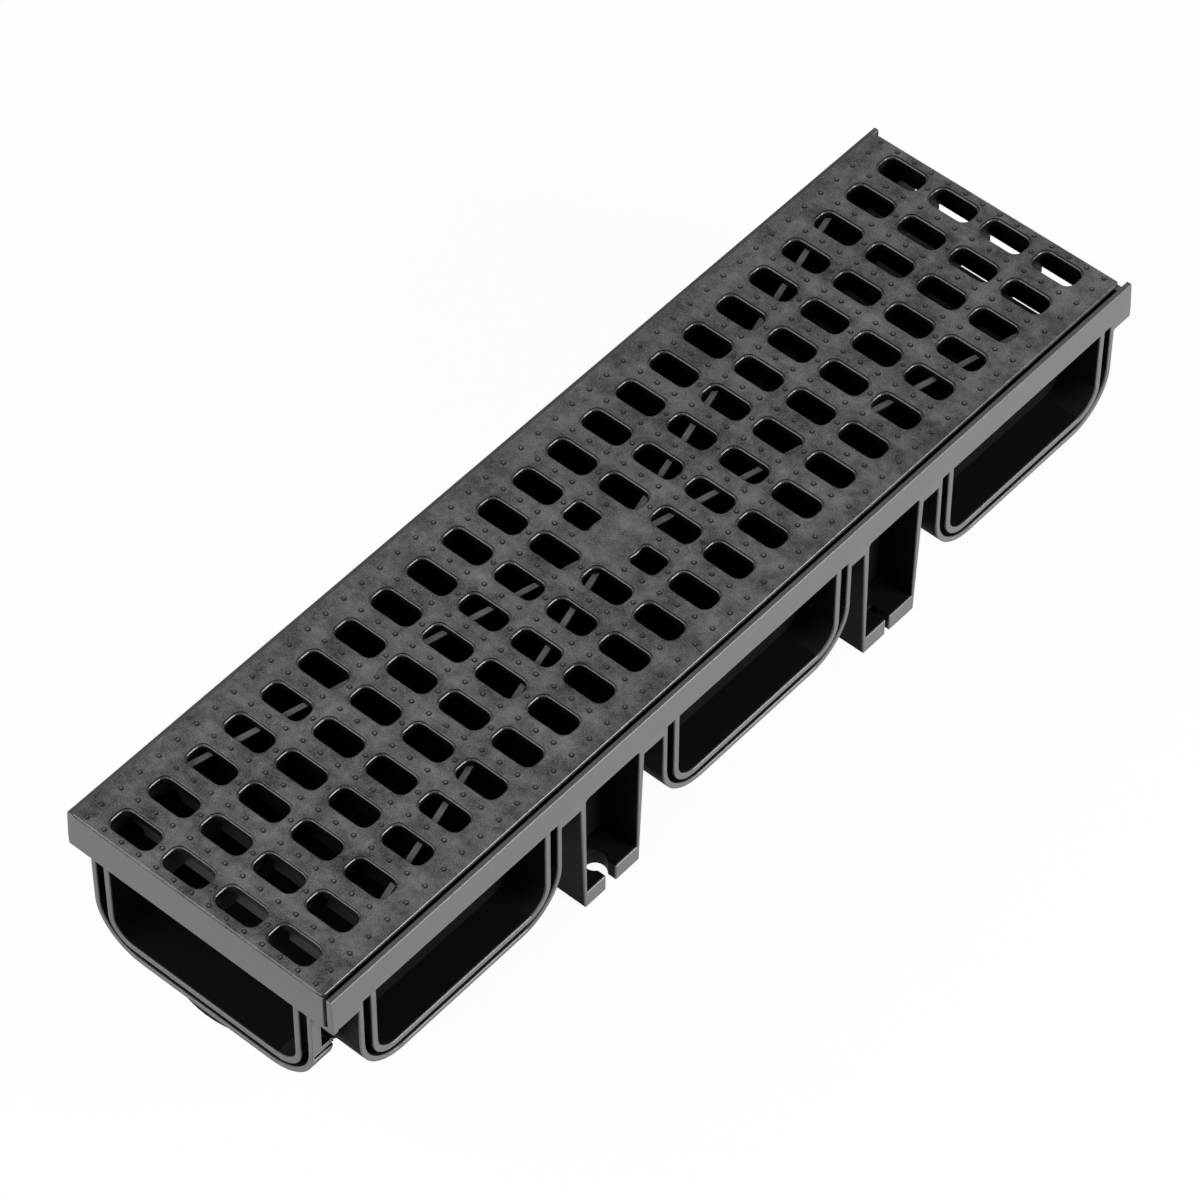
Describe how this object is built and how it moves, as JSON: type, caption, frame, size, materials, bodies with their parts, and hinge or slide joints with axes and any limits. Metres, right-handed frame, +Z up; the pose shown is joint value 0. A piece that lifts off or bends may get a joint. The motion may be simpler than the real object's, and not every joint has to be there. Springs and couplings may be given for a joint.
{
  "type": "channel drain",
  "caption": "Shallow surface drain channel with a loose slotted grate, U-shaped end socket and tongue, closed side ports and legs that key into concrete.",
  "frame": {"origin": "middle of the footprint, at the underside of the feet", "axes": "+Z up, +Y along the channel from the socket end to the tongue end, +X across it"},
  "size_m": [0.1426, 0.5096, 0.088],
  "materials": {
    "body_plastic": "matt moulded plastic",
    "grate_plastic": "matt moulded plastic with a fine grain"
  },
  "bodies": {
    "root": {"channel_body": "body_plastic", "grate": "grate_plastic"}
  },
  "joints": []
}
